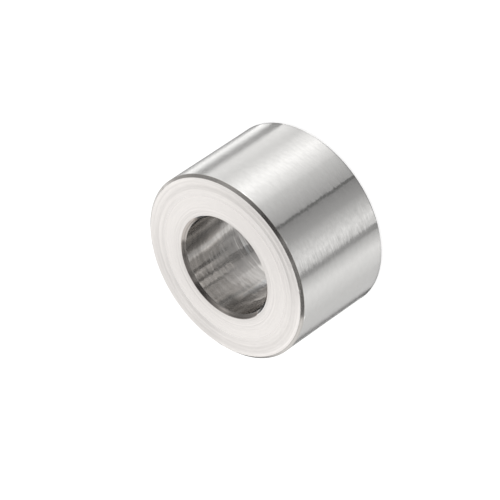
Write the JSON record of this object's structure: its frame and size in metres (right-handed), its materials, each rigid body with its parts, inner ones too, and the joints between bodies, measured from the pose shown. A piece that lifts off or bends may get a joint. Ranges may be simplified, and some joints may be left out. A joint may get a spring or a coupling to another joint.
{
  "type": "spacer sleeve",
  "caption": "Plain round spacer sleeve turned from stainless steel, with a clearance bore for an M10 bolt and chamfered edges at both end faces.",
  "frame": {"origin": "centre of the bottom end face, on the sleeve's axis", "axes": "+Z along the sleeve's axis, from the bottom end face to the top one; the sleeve is round, so X and Y are any two directions across it"},
  "size_m": [0.02, 0.02, 0.012],
  "materials": {
    "stainless_steel": "clean bare stainless steel, finely turned, with concentric facing marks on the end faces and a brighter ground outer wall"
  },
  "bodies": {
    "root": {"sleeve": "stainless_steel"}
  },
  "joints": []
}
